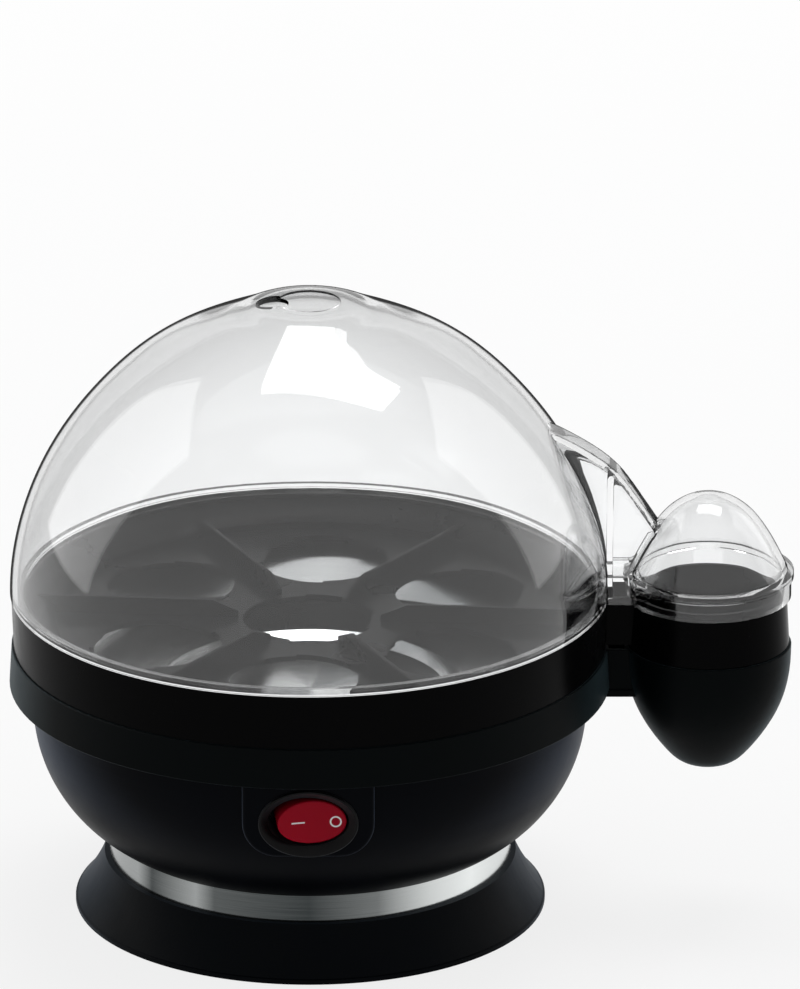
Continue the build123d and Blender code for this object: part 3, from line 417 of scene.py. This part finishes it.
def plug(tree, value, socket):
    """Give an input this value, or link it to this output of another node."""
    if isinstance(value, bpy.types.NodeSocket):
        tree.links.new(value, socket)
    else:
        socket.default_value = value


def feed(tree, node, **values):
    """Give a node's named inputs these values or outputs."""
    for key, value in values.items():
        plug(tree, value, node.inputs[key.replace("_", " ")])


def add(tree, kind, **settings):
    """A new node of this kind, with these settings, and these values or outputs on its inputs."""
    node = tree.nodes.new(kind)
    for key, value in settings.items():
        if hasattr(node, key):
            setattr(node, key, value)
        else:
            feed(tree, node, **{key: value})
    return node


def maths(tree, operation, *values, **settings):
    """The result of a sum on these numbers and outputs."""
    node = add(tree, "ShaderNodeMath", operation=operation, **settings)
    for value, socket in zip(values, node.inputs):
        plug(tree, value, socket)
    return node.outputs["Value"]


def vector_maths(tree, operation, *values, **settings):
    """The result of a sum on these vectors and outputs."""
    node = add(tree, "ShaderNodeVectorMath", operation=operation, **settings)
    for value, socket in zip(values, node.inputs):
        plug(tree, value, socket)
    return node.outputs["Value" if operation == "LENGTH" else "Vector"]


def smooth_step(tree, value, low, high, at_low=0.0, at_high=1.0):
    """A soft step from one value to another, as this output goes from low to high."""
    node = add(
        tree,
        "ShaderNodeMapRange",
        interpolation_type="SMOOTHSTEP",
        Value=value,
        From_Min=low,
        From_Max=high,
        To_Min=at_low,
        To_Max=at_high,
    )
    return node.outputs["Result"]


def noise_range(tree, noise, low, high):
    """A noise's middle values, stretched to run between these two."""
    node = add(
        tree,
        "ShaderNodeMapRange",
        Value=noise,
        From_Min=NOISE_LOW,
        From_Max=NOISE_HIGH,
        To_Min=low,
        To_Max=high,
    )
    return node.outputs["Result"]


def mix_colors(tree, share, first, second):
    """A mix of two colours, the second by this share."""
    node = add(tree, "ShaderNodeMix", data_type="RGBA")
    for index, value in ((0, share), (6, first), (7, second)):
        plug(tree, value, node.inputs[index])
    return node.outputs[2]


def mix_shaders(tree, share, first, second):
    """A mix of two shaders, the second by this share."""
    node = add(tree, "ShaderNodeMixShader")
    for index, value in enumerate((share, first, second)):
        plug(tree, value, node.inputs[index])
    return node.outputs["Shader"]


def ramp(tree, source, stops):
    """The colour that a ramp of (position, colour) stops gives for this output."""
    node = tree.nodes.new("ShaderNodeValToRGB")
    while len(node.color_ramp.elements) < len(stops):
        node.color_ramp.elements.new(0.5)
    for element, (position, color) in zip(node.color_ramp.elements, stops):
        element.position = position
        element.color = color
    tree.links.new(source, node.inputs["Fac"])
    return node.outputs["Color"]


def grey(value):
    """A grey of this value as a colour."""
    return (value, value, value, 1)


def object_place(tree):
    """The place on the object, in its own coordinates."""
    return add(tree, "ShaderNodeTexCoord").outputs["Object"]


def axes(tree, vector):
    """A vector's three numbers, as the outputs X, Y and Z."""
    return add(tree, "ShaderNodeSeparateXYZ", Vector=vector).outputs


def flat_way(tree, place):
    """The flat way from the object's upright axis to a place, and its direction."""
    flat = vector_maths(tree, "MULTIPLY", place, (1, 1, 0))
    return flat, vector_maths(tree, "NORMALIZE", flat)


def begin_group(name, inputs, outputs):
    """A shader node group with these sockets, its given values and the node that takes its results."""
    group = bpy.data.node_groups.new(name, "ShaderNodeTree")
    for label, kind, value in inputs:
        socket = group.interface.new_socket(label, in_out="INPUT", socket_type=kind)
        socket.default_value = value
    for label, kind in outputs:
        group.interface.new_socket(label, in_out="OUTPUT", socket_type=kind)
    return group, group.nodes.new("NodeGroupInput").outputs, group.nodes.new("NodeGroupOutput")


def place_group(tree, group, **values):
    """The group as a node of this tree, with these values or outputs on its inputs."""
    node = tree.nodes.new("ShaderNodeGroup")
    node.node_tree = group
    feed(tree, node, **values)
    return node


# Shared effects


def make_moulded_skin():
    """The fine spark-eroded skin of a moulding, with its handling marks."""
    group, given, result = begin_group(
        "moulded_skin",
        [
            ("Color", "NodeSocketColor", grey(0.02)),
            ("Grain", "NodeSocketFloat", 2200.0),
            ("Depth", "NodeSocketFloat", 0.15),
            ("Smooth", "NodeSocketFloat", 0.3),
            ("Rough", "NodeSocketFloat", 0.42),
        ],
        [("Color", "NodeSocketColor"), ("Roughness", "NodeSocketFloat"), ("Normal", "NodeSocketVector")],
    )
    place = object_place(group)
    grain = add(group, "ShaderNodeTexNoise", Vector=place, Scale=given["Grain"], Detail=2.0, Roughness=0.6)
    bump = add(group, "ShaderNodeBump", Distance=SKIN_HEIGHT, Strength=given["Depth"], Height=grain.outputs["Fac"])
    marks = add(group, "ShaderNodeTexNoise", Vector=place, Scale=38.0, Detail=6.0, Roughness=0.62).outputs["Fac"]
    shade = noise_range(group, marks, MARKS_DARK, MARKS_LIGHT)
    feed(
        group,
        result,
        Color=vector_maths(group, "SCALE", given["Color"], Scale=shade),
        Roughness=noise_range(group, marks, given["Smooth"], given["Rough"]),
        Normal=bump.outputs["Normal"],
    )
    return group


def make_painted_reflection_fans():
    """Where a turned metal's colour is painted bright as a painted reflection: two broad fans, broken up by soft
    patches.
    """
    group, given, result = begin_group(
        "painted_reflection_fans",
        [("Turn", "NodeSocketFloat", 0.0), ("Sectors", "NodeSocketFloat", 1.3)],
        [("Share", "NodeSocketFloat")],
    )
    place = object_place(group)
    _, heading = flat_way(group, place)
    turned = add(group, "ShaderNodeVectorRotate", rotation_type="Z_AXIS", Vector=heading, Angle=given["Turn"])
    across = axes(group, turned.outputs["Vector"])["X"]
    lobes = add(group, "ShaderNodeTexNoise", Vector=heading, Scale=given["Sectors"], Detail=1.5, Roughness=0.5)
    blotches = add(group, "ShaderNodeTexNoise", Vector=place, Scale=16.0, Detail=1.0, Roughness=0.4)
    total = maths(group, "MULTIPLY", across, across)
    total = maths(group, "MULTIPLY_ADD", lobes.outputs["Fac"], LOBE_WEIGHT, total)
    total = maths(group, "MULTIPLY_ADD", blotches.outputs["Fac"], BLOTCH_WEIGHT, total)
    feed(group, result, Share=smooth_step(group, total, DULL_SUM, BRIGHT_SUM))
    return group


def make_painted_band_reflections():
    """The broad light and dark patches painted into a polished band's colour from left to right: painted
    reflections.
    """
    group, _, result = begin_group("painted_band_reflections", [], [("Share", "NodeSocketFloat")])
    _, heading = flat_way(group, object_place(group))
    from_left = maths(group, "MULTIPLY_ADD", axes(group, heading)["X"], 0.5, 0.5)
    feed(group, result, Share=ramp(group, from_left, [(at, grey(tone)) for at, tone in BAND_PAINTED_REFLECTIONS]))
    return group


def make_turned_grain():
    """Fine brushing round the object's upright axis, over a broad tone of painted reflections that another group
    gives.
    """
    group, given, result = begin_group(
        "turned_grain",
        [
            ("Dull", "NodeSocketColor", grey(0.3)),
            ("Bright", "NodeSocketColor", grey(0.7)),
            ("Across", "NodeSocketFloat", 6000.0),
            ("Share", "NodeSocketFloat", 0.5),
            ("Streak", "NodeSocketFloat", 0.2),
            ("Depth", "NodeSocketFloat", 0.1),
            ("Smooth", "NodeSocketFloat", 0.2),
            ("Rough", "NodeSocketFloat", 0.35),
        ],
        [("Color", "NodeSocketColor"), ("Roughness", "NodeSocketFloat"), ("Normal", "NodeSocketVector")],
    )
    place = object_place(group)
    flat, heading = flat_way(group, place)
    reach = vector_maths(group, "LENGTH", flat)
    rise = maths(group, "MULTIPLY_ADD", axes(group, place)["Z"], CLIMB, reach)
    lift = add(group, "ShaderNodeCombineXYZ", Z=maths(group, "MULTIPLY", rise, given["Across"]))
    around = vector_maths(group, "SCALE", heading, Scale=ROUND_SCALE)
    polar = vector_maths(group, "ADD", around, lift.outputs["Vector"])
    lines = add(group, "ShaderNodeTexNoise", Vector=polar, Scale=1.0, Detail=4.0, Roughness=0.7).outputs["Fac"]
    bump = add(group, "ShaderNodeBump", Distance=LINE_HEIGHT, Strength=given["Depth"], Height=lines)
    centred = maths(group, "SUBTRACT", lines, 0.5)
    streaked = maths(group, "MULTIPLY_ADD", centred, given["Streak"], given["Share"], use_clamp=True)
    feed(
        group,
        result,
        Color=mix_colors(group, streaked, given["Dull"], given["Bright"]),
        Roughness=noise_range(group, lines, given["Smooth"], given["Rough"]),
        Normal=bump.outputs["Normal"],
    )
    return group


# Materials


def moulded_plastic(name, color, edge, grain, depth, smooth, rough, specular, painted_sheen_start=0.46, painted_sheen_floor=None):
    """A moulded plastic with its skin, and a painted sheen: a lighter edge tone painted where it is seen at a low
    angle.
    """
    material, tree, shader = new_material(name)
    skin = place_group(tree, moulded_skin, Color=(*color, 1), Grain=grain, Depth=depth, Smooth=smooth, Rough=rough)
    # Painted sheen: the edge colour is painted in where the surface is seen at a low angle
    facing = add(tree, "ShaderNodeLayerWeight", Blend=0.5).outputs["Facing"]
    painted_sheen = smooth_step(tree, facing, painted_sheen_start, PAINTED_SHEEN_END)
    if painted_sheen_floor is not None:
        height = axes(tree, object_place(tree))["Z"]
        painted_sheen = maths(tree, "MULTIPLY", painted_sheen, smooth_step(tree, height, painted_sheen_floor, painted_sheen_floor + PAINTED_SHEEN_FADE))
    feed(
        tree,
        shader,
        Base_Color=mix_colors(tree, painted_sheen, skin.outputs["Color"], (*edge, 1)),
        Roughness=skin.outputs["Roughness"],
        Normal=skin.outputs["Normal"],
        Specular_IOR_Level=specular,
    )
    return material


def turned_metal(name, dull, bright, across, sectors, streak, depth, smooth, rough, anisotropic, turn=0.0):
    """A metal brushed round the object's upright axis, with painted reflections: two fans, or the band's patches.
    """
    material, tree, shader = new_material(name)
    # The tone is a painted reflection: two fans with sectors, the band's patches without
    if sectors:
        tone = place_group(tree, painted_reflection_fans, Turn=turn, Sectors=sectors)
    else:
        tone = place_group(tree, painted_band_reflections)
    grain = place_group(
        tree,
        turned_grain,
        Dull=(*dull, 1),
        Bright=(*bright, 1),
        Across=across,
        Share=tone.outputs["Share"],
        Streak=streak,
        Depth=depth,
        Smooth=smooth,
        Rough=rough,
    )
    feed(
        tree,
        shader,
        Base_Color=grain.outputs["Color"],
        Roughness=grain.outputs["Roughness"],
        Normal=grain.outputs["Normal"],
        Metallic=1.0,
        Anisotropic=anisotropic,
        Tangent=add(tree, "ShaderNodeTangent", direction_type="RADIAL", axis="Z").outputs["Tangent"],
    )
    return material


def clear_plastic(name, painted_shades, painted_outline_start):
    """The lid's clear moulding, with a painted shade greying it at low angles and a painted dark reflection edge
    on.
    """
    material, tree, shader = new_material(name)
    facing = add(tree, "ShaderNodeLayerWeight", Blend=0.5).outputs["Facing"]
    # Painted shade: the colour greys from face on to edge on
    painted_tones = [(at, (*(painted_shade * cast for cast in CLEAR_CAST), 1)) for at, painted_shade in painted_shades]
    feed(
        tree,
        shader,
        Base_Color=ramp(tree, facing, painted_tones),
        Transmission_Weight=1.0,
        Metallic=0.0,
        IOR=CLEAR_IOR,
        Roughness=CLEAR_ROUGHNESS,
    )
    # Painted dark reflection: a near-black shader mixed in where the lid is seen edge on
    painted_dark = add(
        tree,
        "ShaderNodeBsdfPrincipled",
        Base_Color=grey(PAINTED_OUTLINE_BLACK),
        Roughness=0.5,
        Specular_IOR_Level=0.0,
    )
    first, last = PAINTED_OUTLINE_SHARES
    painted_outline = [(painted_outline_start, grey(0.0)), (painted_outline_start + PAINTED_OUTLINE_BLUR, grey(first)), (1.0, grey(last))]
    with_painted_outline = mix_shaders(tree, ramp(tree, facing, painted_outline), shader.outputs["BSDF"], painted_dark.outputs["BSDF"])
    in_shadow = add(tree, "ShaderNodeLightPath").outputs["Is Shadow Ray"]
    through = add(tree, "ShaderNodeBsdfTransparent", Color=grey(SHADOW_TINT)).outputs["BSDF"]
    feed(tree, tree.nodes["Material Output"], Surface=mix_shaders(tree, in_shadow, with_painted_outline, through))
    return material


def print_mask(tree, distance, half_width):
    """One where this distance is under the print's half width, zero beyond it."""
    size = maths(tree, "ABSOLUTE", distance)
    return smooth_step(tree, size, half_width - PRINT_SOFTNESS, half_width + PRINT_SOFTNESS, 1.0, 0.0)


def sign_mask(tree):
    """Where the rocker's two printed signs lie: a bar for on and a ring for off."""
    turn = Matrix.Rotation(-ROCKER_TILT, 3, "Z")
    face = add(
        tree,
        "ShaderNodeMapping",
        Vector=object_place(tree),
        Rotation=(0, 0, -ROCKER_TILT),
        Location=-(turn @ Vector(ROCKER_PIVOT)),
    ).outputs["Vector"]
    from_bar = axes(tree, vector_maths(tree, "ADD", face, (-BAR_X, 0, 0)))
    along = print_mask(tree, from_bar["X"], BAR_HALF_LENGTH)
    bar = maths(tree, "MULTIPLY", along, print_mask(tree, from_bar["Z"], PRINT_HALF_WIDTH))
    from_ring = vector_maths(tree, "ADD", face, (-RING_X, 0, 0))
    reach = vector_maths(tree, "LENGTH", vector_maths(tree, "MULTIPLY", from_ring, (1, 0, 1)))
    ring = print_mask(tree, maths(tree, "SUBTRACT", reach, RING_RADIUS), PRINT_HALF_WIDTH)
    return maths(tree, "MAXIMUM", bar, ring)


def red_plastic():
    """The rocker's glossy red plastic, which lets some light in, with its white signs."""
    material, tree, shader = new_material("switch_red")
    red = (0.32, 0.0025, 0.014, 1)
    skin = place_group(tree, moulded_skin, Color=red, Grain=900.0, Depth=0.05, Smooth=0.1, Rough=0.2)
    feed(
        tree,
        shader,
        Base_Color=mix_colors(tree, sign_mask(tree), skin.outputs["Color"], grey(PRINT_WHITE)),
        Roughness=skin.outputs["Roughness"],
        Normal=skin.outputs["Normal"],
        Subsurface_Weight=0.2,
        Subsurface_Radius=(1.0, 0.1, 0.05),
        Subsurface_Scale=0.002,
        Specular_IOR_Level=0.03,
        Coat_Weight=0.04,
        Coat_Roughness=0.06,
    )
    return material


def dress(node, material):
    """Give a CAD node this material in all its slots."""
    mesh = nodes[node].data
    for index in range(len(mesh.materials)):
        mesh.materials[index] = material


moulded_skin = make_moulded_skin()
painted_reflection_fans = make_painted_reflection_fans()
painted_band_reflections = make_painted_band_reflections()
turned_grain = make_turned_grain()

# Each plastic's edge colour is its painted sheen, painted into its colour where it is seen at a low angle
bowl_black = moulded_plastic(
    "bowl_black",
    color=(0.0009, 0.0013, 0.0024),
    edge=(0.044, 0.057, 0.084),
    grain=2600.0,
    depth=0.25,
    smooth=0.34,
    rough=0.46,
    specular=0.03,
    painted_sheen_start=0.30,
    painted_sheen_floor=0.036,
)
collar_black = moulded_plastic(
    "collar_black",
    color=(0.0010, 0.0018, 0.0020),
    edge=(0.027, 0.042, 0.048),
    grain=2600.0,
    depth=0.25,
    smooth=0.36,
    rough=0.48,
    specular=0.03,
)
tray_black = moulded_plastic(
    "tray_black",
    color=(0.0008, 0.0008, 0.0009),
    edge=(0.004, 0.0043, 0.0046),
    grain=1500.0,
    depth=0.06,
    smooth=0.16,
    rough=0.30,
    specular=0.025,
)
foot_black = moulded_plastic(
    "foot_black",
    color=(0.0010, 0.0016, 0.0024),
    edge=(0.030, 0.040, 0.054),
    grain=1500.0,
    depth=0.5,
    smooth=0.40,
    rough=0.54,
    specular=0.03,
    painted_sheen_start=0.36,
)
switch_black = moulded_plastic(
    "switch_black",
    color=(0.0010, 0.0010, 0.0013),
    edge=(0.034, 0.037, 0.041),
    grain=2400.0,
    depth=0.4,
    smooth=0.24,
    rough=0.38,
    specular=0.10,
    painted_sheen_start=0.22,
)
black_rubber = moulded_plastic(
    "black_rubber",
    color=(0.012, 0.012, 0.012),
    edge=(0.02, 0.02, 0.02),
    grain=900.0,
    depth=0.3,
    smooth=0.7,
    rough=0.85,
    specular=0.2,
)
seal_silicone = moulded_plastic(
    "seal_silicone",
    color=(0.4, 0.4, 0.39),
    edge=(0.45, 0.45, 0.44),
    grain=900.0,
    depth=0.2,
    smooth=0.55,
    rough=0.7,
    specular=0.3,
)
ceramic_white = moulded_plastic(
    "ceramic_white",
    color=(0.75, 0.73, 0.67),
    edge=(0.78, 0.76, 0.7),
    grain=1200.0,
    depth=0.3,
    smooth=0.5,
    rough=0.65,
    specular=0.4,
)
zinc_steel = turned_metal(
    "zinc_steel",
    dull=(0.5, 0.51, 0.5),
    bright=(0.68, 0.69, 0.68),
    across=2500.0,
    sectors=2.0,
    streak=0.3,
    depth=0.1,
    smooth=0.28,
    rough=0.4,
    anisotropic=0.2,
)
plain_aluminium = turned_metal(
    "plain_aluminium",
    dull=(0.6, 0.61, 0.62),
    bright=(0.74, 0.75, 0.76),
    across=2500.0,
    sectors=2.0,
    streak=0.3,
    depth=0.2,
    smooth=0.35,
    rough=0.5,
    anisotropic=0.3,
)
heater_sheath = turned_metal(
    "heater_sheath",
    dull=(0.3, 0.3, 0.3),
    bright=(0.44, 0.44, 0.44),
    across=900.0,
    sectors=2.0,
    streak=0.3,
    depth=0.2,
    smooth=0.4,
    rough=0.55,
    anisotropic=0.2,
)
pan_steel = turned_metal(
    "brushed_steel",
    dull=(0.28, 0.29, 0.295),
    bright=(0.88, 0.89, 0.89),
    across=6000.0,
    sectors=1.5,
    streak=0.5,
    depth=0.1,
    smooth=0.12,
    rough=0.24,
    anisotropic=0.7,
    turn=radians(35),
)
band_steel = turned_metal(
    "band_steel",
    dull=(0.035, 0.041, 0.042),
    bright=(0.95, 0.98, 0.97),
    across=9000.0,
    sectors=0,
    streak=0.14,
    depth=0.06,
    smooth=0.14,
    rough=0.26,
    anisotropic=0.6,
)

FINISHES = {
    "foot_skirt": foot_black,
    "bottom_cover": foot_black,
    "rubber_feet": black_rubber,
    "cover_screws": zinc_steel,
    "housing_screws": zinc_steel,
    "cord_bush": black_rubber,
    "trim_band": band_steel,
    "bowl_housing": bowl_black,
    "top_collar": collar_black,
    "heating_pan": pan_steel,
    "pan_seal": seal_silicone,
    "heater_plate": plain_aluminium,
    "heater_element": heater_sheath,
    "heater_blades": zinc_steel,
    "pan_bridge": zinc_steel,
    "bridge_screws": zinc_steel,
    "centre_stud": zinc_steel,
    "stud_nuts": zinc_steel,
    "sensor_clip": zinc_steel,
    "thermostat": ceramic_white,
    "thermal_fuse": zinc_steel,
    "terminal_block": ceramic_white,
    "switch_body": switch_black,
    "switch_base": switch_black,
    "switch_blades": zinc_steel,
    "rocker": red_plastic(),
    "egg_tray": tray_black,
    "lid": clear_plastic("clear_plastic", CLEAR_PAINTED_SHADES, CLEAR_PAINTED_OUTLINE),
}
for node, material in FINISHES.items():
    dress(node, material)
finer_lid()
even_copy("heating_pan", "turned_pan", "base")


# Studio


def sees_white(tree):
    """One for camera rays and for rays through or off the object, which see a white room."""
    path = add(tree, "ShaderNodeLightPath").outputs
    direct = maths(tree, "MAXIMUM", path["Is Camera Ray"], path["Is Transmission Ray"])
    return maths(tree, "MAXIMUM", direct, path["Is Glossy Ray"])


def make_floor():
    """A pale floor that keeps the object's shadow."""
    material, tree, shader = new_material("studio_floor")
    tree.nodes.remove(shader)
    matt = add(tree, "ShaderNodeBsdfDiffuse", Color=grey(FLOOR_GREY)).outputs["BSDF"]
    glow = add(tree, "ShaderNodeEmission", Color=grey(1.0), Strength=1.0).outputs["Emission"]
    away = vector_maths(tree, "LENGTH", object_place(tree))
    white = smooth_step(tree, away, FLOOR_SHADE_REACH, FLOOR_WHITE_REACH, FLOOR_NEAR_WHITE, 1.0)
    share = maths(tree, "MULTIPLY", sees_white(tree), white)
    feed(tree, tree.nodes["Material Output"], Surface=mix_shaders(tree, share, matt, glow))
    build = bmesh.new()
    bmesh.ops.create_grid(build, x_segments=1, y_segments=1, size=FLOOR_HALF_SIZE)
    mesh = bpy.data.meshes.new("floor")
    build.to_mesh(mesh)
    build.free()
    mesh.materials.append(material)
    floor = show(bpy.data.objects.new("floor", mesh))


def make_room():
    """A room that lights the object plainly and looks white."""
    world = bpy.data.worlds.new("studio")
    bpy.context.scene.world = world
    world.use_nodes = True
    sky = world.node_tree
    sky.nodes.clear()
    room = add(sky, "ShaderNodeBackground", Color=ROOM_COLOR, Strength=ROOM_STRENGTH).outputs["Background"]
    white = add(sky, "ShaderNodeBackground", Color=grey(1.0), Strength=1.0).outputs["Background"]
    add(sky, "ShaderNodeOutputWorld", Surface=mix_shaders(sky, sees_white(sky), room, white))


def add_softbox(name, place, aim, width, height, power, turn):
    """A rectangular lamp at this place, turned to its aim and then round its own axis."""
    data = bpy.data.lights.new(name, "AREA")
    data.shape = "RECTANGLE"
    data.size = width
    data.size_y = height
    data.energy = power
    lamp = bpy.data.objects.new(name, data)
    facing = (Vector(aim) - Vector(place)).to_track_quat("-Z", "Y").to_matrix()
    lamp.rotation_euler = (facing @ Matrix.Rotation(turn, 3, "Z")).to_euler()
    lamp.location = place
    show(lamp)


def place_camera():
    """Put the camera where the photograph was taken from."""
    right_mm = (PHOTO_SIZE[0] / 2 - COLLAR_PIXEL[0]) / PIXELS_PER_MM
    up_mm = (COLLAR_PIXEL[1] - PHOTO_SIZE[1] / 2) / PIXELS_PER_MM
    up = Vector((0, sin(CAMERA_ELEVATION), cos(CAMERA_ELEVATION)))
    aim = Vector((right_mm / MM_PER_METRE, 0, COLLAR_TOP)) + up * up_mm / MM_PER_METRE
    back = Vector((0, -cos(CAMERA_ELEVATION), sin(CAMERA_ELEVATION)))
    data = bpy.data.cameras.new("photo_camera")
    data.sensor_width = SENSOR
    data.lens = PIXELS_PER_MM * CAMERA_DISTANCE * MM_PER_METRE * SENSOR / PHOTO_SIZE[1]
    data.clip_end = CAMERA_REACH
    camera = show(bpy.data.objects.new("photo_camera", data))
    camera.location = aim + back * CAMERA_DISTANCE
    camera.rotation_euler = (pi / 2 - CAMERA_ELEVATION, 0, 0)
    bpy.context.scene.camera = camera


make_floor()
make_room()
for name, settings in LAMPS.items():
    add_softbox(name, *settings)
place_camera()
bpy.context.scene.view_settings.view_transform = "Standard"
